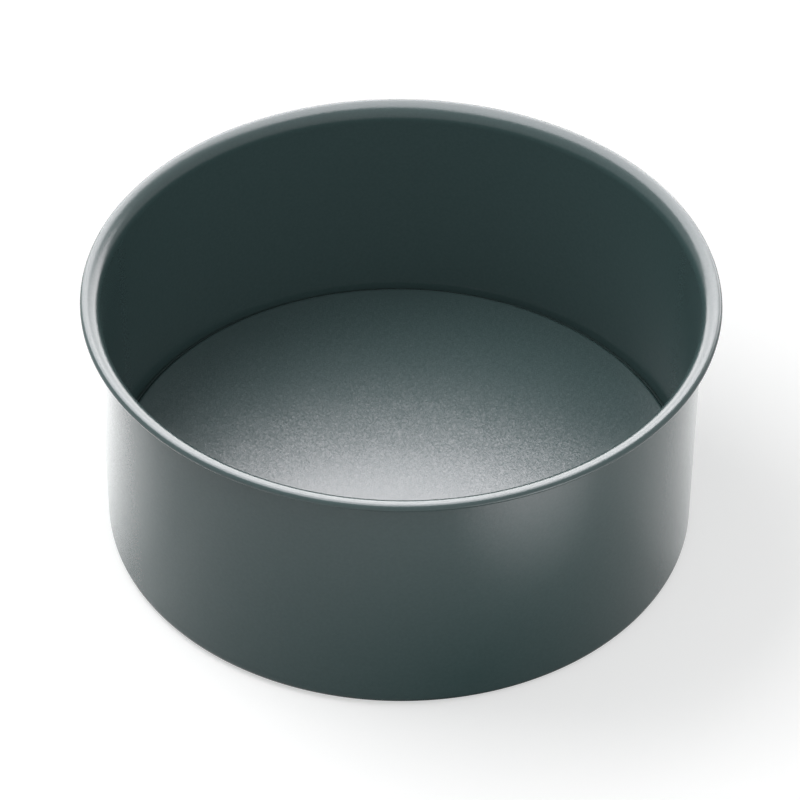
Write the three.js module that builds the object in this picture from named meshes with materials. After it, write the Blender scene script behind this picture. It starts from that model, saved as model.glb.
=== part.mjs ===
// Round deep cake pan with a push-up base, millimetres, +Z up, standing on Z = 0.

import * as THREE from 'three';

// Overall sizes
const INSIDE_TOP_DIAMETER = 200;
const INSIDE_FOOT_DIAMETER = 198;
const PAN_HEIGHT = 94.5;
const FLOOR_HEIGHT = 16;
const SHEET = 0.9;

// Rolled rim and turned-in foot of the wall
const FLARE_RADIUS = 5.6;
const CURL_RADIUS = 1.3;
const CURL_TURN = THREE.MathUtils.degToRad(240);
const FOOT_CORNER_RADIUS = 4;
const LEDGE_REACH = 10;

// Loose base
const BASE_EDGE_GAP = 1.5;
const HEM_RADIUS = 1.35;
const HEM_RETURN = 2.25;
const SKIRT_BEND_RADIUS = 1.8;

// Seal round the base
const SEAL_CLEARANCE = 0.3;
const SEAL_HEIGHT = 5;
const SEAL_BODY_WIDTH = 2.6;
const SEAL_SHOULDER = 1.5;
const SEAL_LIP_DROP = 1;

// Fineness of the round shapes
const AROUND = 72;
const STEP = THREE.MathUtils.degToRad(22.5);

const COATING = { color: 0x3b4746, roughness: 0.38, metalness: 0.55 };
const SILICONE = { color: 0x232b2b, roughness: 0.7, metalness: 0 };

// Points along an arc, from one angle to another, both ends included
function arc(r, z, radius, from, to) {
  const count = Math.max(2, Math.round(Math.abs(to - from) / STEP));
  const points = [];
  for (let i = 0; i <= count; i += 1) {
    const angle = from + ((to - from) * i) / count;
    points.push(new THREE.Vector2(r + radius * Math.cos(angle), z + radius * Math.sin(angle)));
  }
  return points;
}

// Closed section of a sheet, from a function that gives its middle line moved sideways by an offset
function sheetSection(side) {
  return [...side(-SHEET / 2), ...side(SHEET / 2).reverse()];
}

// Solid of revolution about Z
function turned(name, section, finish) {
  const geometry = new THREE.LatheGeometry(section, AROUND);
  geometry.rotateX(Math.PI / 2);
  const mesh = new THREE.Mesh(geometry, new THREE.MeshStandardMaterial(finish));
  mesh.name = name;
  return mesh;
}

// Wall: its foot corner and its rim flare are joined by one straight, slightly tapered line
const rimAxis = INSIDE_TOP_DIAMETER / 2 + FLARE_RADIUS;
const flareAxisHeight = PAN_HEIGHT - FLARE_RADIUS;
const flareMid = FLARE_RADIUS - SHEET / 2;
const curlAxisHeight = PAN_HEIGHT - CURL_RADIUS;
const curlMid = CURL_RADIUS - SHEET / 2;
const footOuter = INSIDE_FOOT_DIAMETER / 2 + SHEET;
const footAxis = footOuter - FOOT_CORNER_RADIUS;
const footMid = FOOT_CORNER_RADIUS - SHEET / 2;
const ledgeInner = footOuter - LEDGE_REACH;
const run = new THREE.Vector2(rimAxis - footAxis, flareAxisHeight - FOOT_CORNER_RADIUS);
const taper = Math.acos((footMid + flareMid) / run.length()) - run.angle();

function wallInside(height) {
  const inner = FOOT_CORNER_RADIUS - SHEET;
  const rise = height - FOOT_CORNER_RADIUS + inner * Math.sin(taper);
  return footAxis + inner * Math.cos(taper) + rise * Math.tan(taper);
}

function wallSide(offset) {
  return [
    new THREE.Vector2(ledgeInner, SHEET / 2 + offset),
    ...arc(footAxis, FOOT_CORNER_RADIUS, footMid - offset, -Math.PI / 2, -taper),
    ...arc(rimAxis, flareAxisHeight, flareMid + offset, Math.PI - taper, Math.PI / 2),
    ...arc(rimAxis, curlAxisHeight, curlMid + offset, Math.PI / 2, Math.PI / 2 - CURL_TURN).slice(1),
  ];
}

function panWall() {
  const section = sheetSection(wallSide);
  section.push(section[0].clone());
  return turned('pan_wall', section, COATING);
}

// Base: flat floor, edge hemmed under, skirt standing on the ledge of the wall
const baseRadius = wallInside(FLOOR_HEIGHT) - BASE_EDGE_GAP;
const hemAxis = baseRadius - HEM_RADIUS;
const hemMid = HEM_RADIUS - SHEET / 2;
const hemUnderside = FLOOR_HEIGHT - 2 * HEM_RADIUS;
const bendMid = SKIRT_BEND_RADIUS - SHEET / 2;
const bendAxisHeight = hemUnderside + SHEET - SKIRT_BEND_RADIUS;
const skirtOuter = hemAxis - HEM_RETURN;
const skirtMid = skirtOuter - SHEET / 2;

function baseSide(offset) {
  return [
    new THREE.Vector2(0, FLOOR_HEIGHT - SHEET / 2 + offset),
    ...arc(hemAxis, FLOOR_HEIGHT - HEM_RADIUS, hemMid + offset, Math.PI / 2, -Math.PI / 2),
    ...arc(skirtMid + bendMid, bendAxisHeight, bendMid - offset, Math.PI / 2, Math.PI),
    new THREE.Vector2(skirtMid + offset, SHEET),
  ];
}

function looseBase() {
  return turned('loose_base', sheetSection(baseSide), COATING);
}

// Seal: ring held under the hem, with a lip that turns up between the hem and the wall
function baseSeal() {
  const inner = skirtOuter + SEAL_CLEARANCE;
  const outer = inner + SEAL_BODY_WIDTH;
  const bend = SKIRT_BEND_RADIUS - SHEET;
  const bottom = hemUnderside - SEAL_HEIGHT;
  const shoulder = hemUnderside - SEAL_SHOULDER;
  const lipTop = FLOOR_HEIGHT - SEAL_LIP_DROP;
  const lipOuter = wallInside(lipTop) - SEAL_CLEARANCE;
  const lipInner = baseRadius + SEAL_CLEARANCE;
  const section = [
    new THREE.Vector2(inner, bottom),
    new THREE.Vector2(outer, bottom),
    new THREE.Vector2(outer, shoulder - SEAL_SHOULDER),
    new THREE.Vector2(wallInside(shoulder) - SEAL_CLEARANCE, shoulder),
    new THREE.Vector2(lipOuter, lipTop),
    new THREE.Vector2(lipInner, lipTop),
    new THREE.Vector2(lipInner, hemUnderside - SEAL_CLEARANCE),
    new THREE.Vector2(hemAxis, hemUnderside),
    new THREE.Vector2(skirtOuter + bend + SEAL_CLEARANCE, hemUnderside),
    new THREE.Vector2(inner, hemUnderside - bend - SEAL_CLEARANCE),
    new THREE.Vector2(inner, bottom),
  ];
  return turned('base_seal', section, SILICONE);
}

const pan = new THREE.Group();
pan.name = 'cake_pan';
pan.add(panWall(), looseBase(), baseSeal());

export default pan;
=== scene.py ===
import math

import bpy
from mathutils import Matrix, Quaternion, Vector


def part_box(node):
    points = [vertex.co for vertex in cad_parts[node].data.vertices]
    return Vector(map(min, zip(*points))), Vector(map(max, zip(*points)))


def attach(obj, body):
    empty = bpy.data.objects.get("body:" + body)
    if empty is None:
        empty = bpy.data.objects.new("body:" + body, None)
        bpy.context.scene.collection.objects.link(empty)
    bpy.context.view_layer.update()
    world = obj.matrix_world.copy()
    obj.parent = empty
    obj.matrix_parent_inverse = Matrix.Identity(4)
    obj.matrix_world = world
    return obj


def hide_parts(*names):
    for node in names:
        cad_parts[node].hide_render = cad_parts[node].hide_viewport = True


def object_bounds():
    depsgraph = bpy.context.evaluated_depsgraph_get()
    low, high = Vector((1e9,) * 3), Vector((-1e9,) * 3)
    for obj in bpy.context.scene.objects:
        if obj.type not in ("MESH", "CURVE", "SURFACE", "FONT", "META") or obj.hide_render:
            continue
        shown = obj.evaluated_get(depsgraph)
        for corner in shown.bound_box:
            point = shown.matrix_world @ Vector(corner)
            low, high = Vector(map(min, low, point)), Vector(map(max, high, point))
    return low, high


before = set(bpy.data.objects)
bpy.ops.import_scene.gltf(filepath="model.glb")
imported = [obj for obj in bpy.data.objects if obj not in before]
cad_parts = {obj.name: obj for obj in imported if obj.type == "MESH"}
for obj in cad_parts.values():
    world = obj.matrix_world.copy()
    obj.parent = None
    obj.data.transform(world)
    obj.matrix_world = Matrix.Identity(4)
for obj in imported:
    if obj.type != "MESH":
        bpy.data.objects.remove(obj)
CAD_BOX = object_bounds()

# Sizes in metres. Overall sizes come from the frame, section sizes are the real sheet's.
MM = 0.001
SHEET = 0.9 * MM
WALL_TAPER = 1.0 * MM
FLARE_RADIUS = 5.6 * MM
CURL_RADIUS = 1.3 * MM
CURL_TURN = math.radians(240)
FOOT_CORNER_RADIUS = 4 * MM
LEDGE_REACH = 10 * MM
HEM_RADIUS = 1.35 * MM
HEM_RETURN = 2.25 * MM
SKIRT_BEND_RADIUS = 1.8 * MM
SEAL_CLEARANCE = 0.3 * MM
SEAL_BODY_WIDTH = 2.6 * MM
SEAL_SHOULDER = 1.5 * MM

# Rounding of the seal's edges: its width, its steps and the least bend that is rounded
SEAL_ROUNDING = 0.2 * MM
ROUNDING_STEPS = 3
ROUNDED_BEND = math.radians(20)

# Fineness of the round shapes
AROUND = 288
ARC_STEP = math.radians(7.5)
LONG_STRETCH = 1.5 * MM
SUPPORT = 0.3 * MM
SHARP = math.radians(50)
QUARTER = math.pi / 2

# Camera: where it looks, from how far and how high, how far it is rolled and how long its lens is
TARGET = Vector((-0.05 * MM, 0, 47.26 * MM))
DISTANCE = 1704 * MM
ELEVATION = math.radians(40.80)
ROLL = math.radians(0.59)
LENS = 226.2
SENSOR = 36

# Coating: roughness and index of its gloss, and the lean of the fine flake in it
ROUGHNESS_SPREAD = 0.02
FLAKES_PER_METRE = 3200
WALL_ROUGHNESS = 0.24
WALL_IOR = 1.45
WALL_SPARKLE = 0.05
BASE_ROUGHNESS = 0.30
BASE_IOR = 1.59
BASE_SPARKLE = 0.12

# Silicone: least and most roughness, and its shine, which is below the usual 0.5
SILICONE_ROUGHNESS = (0.7, 0.9)
SILICONE_SHINE = 0.1

# Noises: features in a metre and levels of detail
MOTTLE = (900, 3)
CLOUD = (22, 2)
PEEL = (420, 1)
GRAIN = (1500, 2)
SILICONE_CLOUD = (60, 2)

# Bumps: strength and depth
PEEL_BUMP = (0.1, 0.1 * MM)
GRAIN_BUMP = (0.2, 0.05 * MM)

# Colours, linear
COATING_DARK = (0.044, 0.079, 0.079, 1)
COATING_LIGHT = (0.059, 0.098, 0.098, 1)
GLOSS_TINT = (1, 0.92, 0.96, 1)
SILICONE_DARK = (0.018, 0.032, 0.032, 1)
SILICONE_LIGHT = (0.024, 0.041, 0.041, 1)
FLOOR_COLOUR = (0.64, 0.64, 0.64, 1)
WHITE = (1, 1, 1, 1)
MID_GREY = (0.5, 0.5, 0.5)

# Studio light: a soft key and a soft fill light the pan, a softbox and a backdrop show in its gloss.
# Each has an azimuth from straight behind the pan towards its right, an elevation, a distance,
# a width, a height and a radiance. The ambient light comes from all round.
KEY = (math.radians(-66), math.radians(55), 1.3, 1.0, 1.0, 3.9)
FILL = (math.radians(152), math.radians(46), 0.7, 0.56, 0.56, 1.4)
SOFTBOX = (math.radians(-20), math.radians(68), 1.2, 1.10, 1.50, 7.5)
BACKDROP = (math.radians(4), math.radians(23), 1.6, 2.9, 1.06, 6.8)
AMBIENT = 0.36

# Cards lying by the pan, which only its gloss sees and which fade out to their edges. Each has a place
# on the floor, a width, a depth and a radiance. Those at the sides and front right are light; the
# black one in front is a painted shadow of the pan on the floor, seen in its gloss. Each lies a little
# above the last.
CARDS = {
    "left_card": (-0.14, 0.05, 0.15, 0.22, 2.9),
    "right_card": (0.14, 0.05, 0.15, 0.22, 1.7),
    "glow_card": (0.15, -0.19, 0.20, 0.20, 8),
    # Painted shadow: a black sheet that stands for the pan's shade on the floor in front, seen only in
    # its gloss
    "painted_shadow_card": (0.028, -0.105, 0.31, 0.18, 0),
}
CARD_LIFT = 0.2 * MM

# Floor: its size, how far it lies under the pan, and the light that lifts it to white near the pan and
# far from it, with the distances where the change begins and ends
FLOOR_SIZE = 12
FLOOR_DROP = 0.05 * MM
NEAR_LIFT = 0.46
FAR_LIFT = 0.75
FLOOR_NEAR = 0.35
FLOOR_FAR = 1.8

# Sockets of the Mix node when it mixes colours, which share their names with others
MIX_FACTOR = 0
MIX_FIRST = 6
MIX_SECOND = 7
MIX_RESULT = 2


def arc(r, z, radius, start, end):
    """Section points along an arc, both ends included."""
    count = max(2, round(abs(end - start) / ARC_STEP))
    angles = [start + (end - start) * i / count for i in range(count + 1)]
    return [(r + radius * math.cos(a), z + radius * math.sin(a)) for a in angles]


def supported(points):
    """The same section with extra points close to the ends of its long straight stretches."""
    out = [points[0]]
    for a, b in zip(points, points[1:]):
        length = math.dist(a, b)
        if length > LONG_STRETCH:
            t = SUPPORT / length
            for s in (t, 1 - t):
                out.append((a[0] + (b[0] - a[0]) * s, a[1] + (b[1] - a[1]) * s))
        out.append(b)
    return out


def sheet_section(side):
    """Closed section of a sheet, from a function that gives its middle line moved sideways."""
    return supported(side(-SHEET / 2)) + supported(side(SHEET / 2)[::-1])


def turned_points(section):
    """The section's points at each step round the Z axis."""
    angles = [2 * math.pi * i / AROUND for i in range(AROUND)]
    return [(r * math.cos(a), r * math.sin(a), z) for a in angles for r, z in section]


def step_starts(count):
    """For each step round the axis, the number of its first point and of the next step's."""
    return [(i * count, (i + 1) % AROUND * count) for i in range(AROUND)]


def add_mesh(name, points, faces):
    """Mesh that is smooth except at its sharp edges."""
    mesh = bpy.data.meshes.new(name)
    mesh.from_pydata(points, [], faces)
    mesh.shade_smooth()
    mesh.set_sharp_from_angle(angle=SHARP)
    obj = bpy.data.objects.new(name, mesh)
    bpy.context.scene.collection.objects.link(obj)
    return obj


def turned_ring(name, section):
    """Solid of revolution from a closed section that stays clear of the axis."""
    count = len(section)
    faces = []
    for here, there in step_starts(count):
        for j in range(count):
            k = (j + 1) % count
            faces.append((here + j, there + j, there + k, here + k))
    return add_mesh(name, turned_points(section), faces)


def turned_disc(name, section):
    """Solid of revolution from a section that starts and ends on the axis."""
    inner = section[1:-1]
    count = len(inner)
    points = turned_points(inner)
    first = len(points)
    last = first + 1
    points += [(0, 0, section[0][1]), (0, 0, section[-1][1])]
    faces = []
    for here, there in step_starts(count):
        for j in range(count - 1):
            faces.append((here + j, there + j, there + j + 1, here + j + 1))
        faces.append((first, there, here))
        faces.append((last, here + count - 1, there + count - 1))
    return add_mesh(name, points, faces)


def dress(obj, body, node, material):
    """The piece takes a material, stands for a CAD node and rides on its body."""
    obj.data.materials.append(material)
    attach(obj, body)
    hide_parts(node)


class Wall:
    """Where the wall's foot, its straight stretch and its rim are, from the frame."""

    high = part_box("pan_wall")[1]
    rim_axis = high[0] - CURL_RADIUS
    flare_axis_height = high[2] - FLARE_RADIUS
    curl_axis_height = high[2] - CURL_RADIUS
    inside_top = rim_axis - FLARE_RADIUS
    foot_outer = inside_top - WALL_TAPER + SHEET
    foot_axis = foot_outer - FOOT_CORNER_RADIUS
    ledge_inner = foot_outer - LEDGE_REACH
    flare_mid = FLARE_RADIUS - SHEET / 2
    foot_mid = FOOT_CORNER_RADIUS - SHEET / 2
    curl_mid = CURL_RADIUS - SHEET / 2
    run = rim_axis - foot_axis
    rise = flare_axis_height - FOOT_CORNER_RADIUS
    taper = math.acos((foot_mid + flare_mid) / math.hypot(run, rise)) - math.atan2(rise, run)


def wall_side(offset):
    """One face of the wall's sheet: ledge, foot corner, straight wall, flare and curl."""
    corner = Wall.foot_mid - offset
    flare = Wall.flare_mid + offset
    curl = Wall.curl_mid + offset
    return [
        (Wall.ledge_inner, SHEET / 2 + offset),
        *arc(Wall.foot_axis, FOOT_CORNER_RADIUS, corner, -QUARTER, -Wall.taper),
        *arc(Wall.rim_axis, Wall.flare_axis_height, flare, math.pi - Wall.taper, QUARTER),
        *arc(Wall.rim_axis, Wall.curl_axis_height, curl, QUARTER, QUARTER - CURL_TURN)[1:],
    ]


class Base:
    """Where the base's hem and skirt are, from the frame."""

    low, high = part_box("loose_base")
    foot = low[2]
    floor = high[2]
    hem_axis = high[0] - HEM_RADIUS
    hem_underside = floor - 2 * HEM_RADIUS
    hem_mid = HEM_RADIUS - SHEET / 2
    bend_mid = SKIRT_BEND_RADIUS - SHEET / 2
    bend_axis_height = hem_underside + SHEET - SKIRT_BEND_RADIUS
    skirt_outer = hem_axis - HEM_RETURN
    skirt_mid = skirt_outer - SHEET / 2
    bend_axis = skirt_mid + bend_mid


def base_side(offset):
    """One face of the base's sheet: floor, hem, bend and skirt."""
    hem = Base.hem_mid + offset
    bend = Base.bend_mid - offset
    return [
        (0, Base.floor - SHEET / 2 + offset),
        *arc(Base.hem_axis, Base.floor - HEM_RADIUS, hem, QUARTER, -QUARTER),
        *arc(Base.bend_axis, Base.bend_axis_height, bend, QUARTER, math.pi),
        (Base.skirt_mid + offset, Base.foot),
    ]


def seal_section():
    """Section of the seal: a body under the hem and a lip that turns up between hem and wall."""
    low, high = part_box("base_seal")
    inner = Base.skirt_outer + SEAL_CLEARANCE
    outer = inner + SEAL_BODY_WIDTH
    bend = SKIRT_BEND_RADIUS - SHEET
    shoulder = Base.hem_underside - SEAL_SHOULDER
    lip_inner = Base.high[0] + SEAL_CLEARANCE
    lean = (high[2] - shoulder) * math.tan(Wall.taper)
    return [
        (inner, low[2]),
        (outer, low[2]),
        (outer, shoulder - SEAL_SHOULDER),
        (high[0] - lean, shoulder),
        (high[0], high[2]),
        (lip_inner, high[2]),
        (lip_inner, Base.hem_underside - SEAL_CLEARANCE),
        (Base.hem_axis, Base.hem_underside),
        (Base.skirt_outer + bend + SEAL_CLEARANCE, Base.hem_underside),
        (inner, Base.hem_underside - bend - SEAL_CLEARANCE),
    ]


class Nodes:
    """A material's or world's node tree, with short calls for its nodes and links."""

    def __init__(self, owner):
        owner.use_nodes = True
        self.tree = owner.node_tree
        self.tree.nodes.clear()

    def add(self, kind, **settings):
        node = self.tree.nodes.new("ShaderNode" + kind)
        for key, value in settings.items():
            setattr(node, key, value)
        return node

    def link(self, output, socket):
        self.tree.links.new(output, socket)

    def place(self):
        """Where a point is on the object."""
        return self.add("TexCoord").outputs["Object"]

    def reach(self):
        """How far a point is from the object's origin."""
        node = self.add("VectorMath", operation="LENGTH")
        self.link(self.place(), node.inputs[0])
        return node.outputs["Value"]

    def noise(self, place, scale, detail):
        node = self.add("TexNoise")
        node.inputs["Scale"].default_value = scale
        node.inputs["Detail"].default_value = detail
        self.link(place, node.inputs["Vector"])
        return node.outputs["Fac"]

    def flakes(self, place):
        """A random colour that is even over each flake."""
        node = self.add("TexVoronoi")
        node.inputs["Scale"].default_value = FLAKES_PER_METRE
        self.link(place, node.inputs["Vector"])
        return node.outputs["Color"]

    def spread(self, value, low, high, to_low, to_high):
        """The value, stretched from one range to another and held inside it."""
        node = self.add("MapRange")
        node.inputs["From Min"].default_value = low
        node.inputs["From Max"].default_value = high
        node.inputs["To Min"].default_value = to_low
        node.inputs["To Max"].default_value = to_high
        self.link(value, node.inputs["Value"])
        return node.outputs["Result"]

    def blend(self, factor, first, second):
        node = self.add("Mix", data_type="RGBA")
        node.inputs[MIX_FIRST].default_value = first
        node.inputs[MIX_SECOND].default_value = second
        self.link(factor, node.inputs[MIX_FACTOR])
        return node.outputs[MIX_RESULT]

    def bump(self, height, strength, depth):
        node = self.add("Bump")
        node.inputs["Strength"].default_value = strength
        node.inputs["Distance"].default_value = depth
        self.link(height, node.inputs["Height"])
        return node.outputs["Normal"]

    def lean(self, normal, chance, amount):
        """The normal, leaned by a random colour."""
        middle = self.add("VectorMath", operation="SUBTRACT")
        middle.inputs[1].default_value = MID_GREY
        self.link(chance, middle.inputs[0])
        leaned = self.add("VectorMath", operation="MULTIPLY_ADD")
        leaned.inputs[1].default_value = (amount, amount, amount)
        self.link(middle.outputs[0], leaned.inputs[0])
        self.link(normal, leaned.inputs[2])
        unit = self.add("VectorMath", operation="NORMALIZE")
        self.link(leaned.outputs[0], unit.inputs[0])
        return unit.outputs[0]

    def seen(self):
        """1 for rays from the camera and from glossy or clear surfaces, 0 for light on the pan."""
        path = self.add("LightPath")
        total = path.outputs["Is Camera Ray"]
        for name in ("Is Glossy Ray", "Is Transmission Ray"):
            either = self.add("Math", operation="MAXIMUM")
            self.link(total, either.inputs[0])
            self.link(path.outputs[name], either.inputs[1])
            total = either.outputs[0]
        return total

    def surface(self, shader):
        self.link(shader, self.add("OutputMaterial").inputs["Surface"])


def coating(name, roughness, index, sparkle):
    """Dark grey-green non-stick coating: semi-gloss, slight orange peel, fine tilted flake."""
    material = bpy.data.materials.new(name)
    nodes = Nodes(material)
    place = nodes.place()
    mottle = nodes.noise(place, *MOTTLE)
    cloud = nodes.noise(place, *CLOUD)
    peel = nodes.bump(nodes.noise(place, *PEEL), *PEEL_BUMP)
    gloss = nodes.spread(cloud, 0, 1, roughness - ROUGHNESS_SPREAD, roughness + ROUGHNESS_SPREAD)
    shader = nodes.add("BsdfPrincipled")
    shader.inputs["IOR"].default_value = index
    shader.inputs["Specular Tint"].default_value = GLOSS_TINT
    nodes.link(nodes.blend(mottle, COATING_DARK, COATING_LIGHT), shader.inputs["Base Color"])
    nodes.link(gloss, shader.inputs["Roughness"])
    nodes.link(nodes.lean(peel, nodes.flakes(place), sparkle), shader.inputs["Normal"])
    nodes.surface(shader.outputs["BSDF"])
    return material


def silicone(name):
    """Dark satin silicone with a fine moulded grain."""
    material = bpy.data.materials.new(name)
    nodes = Nodes(material)
    place = nodes.place()
    grain = nodes.noise(place, *GRAIN)
    cloud = nodes.noise(place, *SILICONE_CLOUD)
    shader = nodes.add("BsdfPrincipled")
    shader.inputs["Specular IOR Level"].default_value = SILICONE_SHINE
    nodes.link(nodes.blend(cloud, SILICONE_DARK, SILICONE_LIGHT), shader.inputs["Base Color"])
    nodes.link(nodes.spread(grain, 0, 1, *SILICONE_ROUGHNESS), shader.inputs["Roughness"])
    nodes.link(nodes.bump(grain, *GRAIN_BUMP), shader.inputs["Normal"])
    nodes.surface(shader.outputs["BSDF"])
    return material


def paper(name):
    """Pale paper floor, lifted to white where the camera and the gloss see it."""
    material = bpy.data.materials.new(name)
    nodes = Nodes(material)
    matt = nodes.add("BsdfDiffuse")
    matt.inputs["Color"].default_value = FLOOR_COLOUR
    by_distance = nodes.spread(nodes.reach(), FLOOR_NEAR, FLOOR_FAR, NEAR_LIFT, FAR_LIFT)
    strength = nodes.add("Math", operation="MULTIPLY")
    nodes.link(by_distance, strength.inputs[0])
    nodes.link(nodes.seen(), strength.inputs[1])
    lift = nodes.add("Emission")
    nodes.link(strength.outputs[0], lift.inputs["Strength"])
    both = nodes.add("AddShader")
    nodes.link(matt.outputs["BSDF"], both.inputs[0])
    nodes.link(lift.outputs["Emission"], both.inputs[1])
    nodes.surface(both.outputs["Shader"])
    return material


def glow(name, radiance):
    """Light that is full in the middle of a card and fades to clear one unit away from it."""
    material = bpy.data.materials.new(name)
    nodes = Nodes(material)
    light = nodes.add("Emission")
    light.inputs["Strength"].default_value = radiance
    both = nodes.add("MixShader")
    nodes.link(nodes.spread(nodes.reach(), 0, 1, 1, 0), both.inputs[0])
    nodes.link(nodes.add("BsdfTransparent").outputs["BSDF"], both.inputs[1])
    nodes.link(light.outputs["Emission"], both.inputs[2])
    nodes.surface(both.outputs["Shader"])
    return material


def build_pan():
    wall = turned_ring("pan_wall_skin", sheet_section(wall_side))
    finish = coating("wall_coating", WALL_ROUGHNESS, WALL_IOR, WALL_SPARKLE)
    dress(wall, "pan", "pan_wall", finish)


def build_base():
    disc = turned_disc("loose_base_skin", sheet_section(base_side))
    finish = coating("base_coating", BASE_ROUGHNESS, BASE_IOR, BASE_SPARKLE)
    dress(disc, "base", "loose_base", finish)


def build_seal():
    ring = turned_ring("base_seal_skin", seal_section())
    dress(ring, "base", "base_seal", silicone("silicone"))
    rounding = ring.modifiers.new("rounding", "BEVEL")
    rounding.width = SEAL_ROUNDING
    rounding.segments = ROUNDING_STEPS
    rounding.limit_method = "ANGLE"
    rounding.angle_limit = ROUNDED_BEND


def build_floor():
    height = CAD_BOX[0][2] - FLOOR_DROP
    bpy.ops.mesh.primitive_plane_add(size=FLOOR_SIZE, location=(0, 0, height))
    floor = bpy.context.object
    floor.name = "floor"
    floor.data.materials.append(paper("floor_paper"))


def build_card(name, height, x, y, width, depth, radiance):
    """Card that shows in glossy surfaces only. Its own unit reaches from its middle to its edge."""
    bpy.ops.mesh.primitive_plane_add(size=2, location=(x, y, height))
    card = bpy.context.object
    card.name = name
    card.scale = (width / 2, depth / 2, 1)
    card.data.materials.append(glow(name, radiance))
    card.visible_camera = False
    card.visible_diffuse = False
    card.visible_transmission = False
    card.visible_shadow = False


def build_cards():
    for count, (name, sizes) in enumerate(CARDS.items(), 1):
        build_card(name, count * CARD_LIFT, *sizes)


def build_camera():
    back = Vector((0, -math.cos(ELEVATION), math.sin(ELEVATION)))
    camera = bpy.data.objects.new("camera", bpy.data.cameras.new("camera"))
    camera.data.lens = LENS
    camera.data.sensor_width = SENSOR
    camera.location = TARGET + DISTANCE * back
    level = back.to_track_quat("Z", "Y")
    camera.rotation_euler = (level @ Quaternion((0, 0, 1), ROLL)).to_euler()
    bpy.context.scene.collection.objects.link(camera)
    bpy.context.scene.camera = camera


def area_light(name, azimuth, elevation, distance, width, height, radiance):
    """Rectangular light with an even radiance, facing the pan from a direction."""
    lamp = bpy.data.lights.new(name, "AREA")
    lamp.shape = "RECTANGLE"
    lamp.size = width
    lamp.size_y = height
    lamp.energy = radiance * math.pi * width * height
    level = math.cos(elevation)
    towards = Vector((level * math.sin(azimuth), level * math.cos(azimuth), math.sin(elevation)))
    obj = bpy.data.objects.new(name, lamp)
    obj.location = distance * towards
    obj.rotation_euler = towards.to_track_quat("Z", "Y").to_euler()
    bpy.context.scene.collection.objects.link(obj)
    return obj


def build_lights():
    for name, sizes in (("key_light", KEY), ("fill_light", FILL)):
        area_light(name, *sizes).visible_glossy = False
    for name, sizes in (("softbox", SOFTBOX), ("backdrop", BACKDROP)):
        area_light(name, *sizes).visible_diffuse = False


def build_world():
    """White studio: full white to the camera and in reflections, dimmer as light on the pan."""
    world = bpy.data.worlds.new("studio")
    bpy.context.scene.world = world
    nodes = Nodes(world)
    background = nodes.add("Background")
    background.inputs["Color"].default_value = WHITE
    nodes.link(nodes.spread(nodes.seen(), 0, 1, AMBIENT, 1), background.inputs["Strength"])
    nodes.link(background.outputs[0], nodes.add("OutputWorld").inputs["Surface"])


build_camera()
build_world()
build_lights()
build_floor()
build_cards()
build_pan()
build_base()
build_seal()
bpy.context.scene.view_settings.view_transform = "Standard"
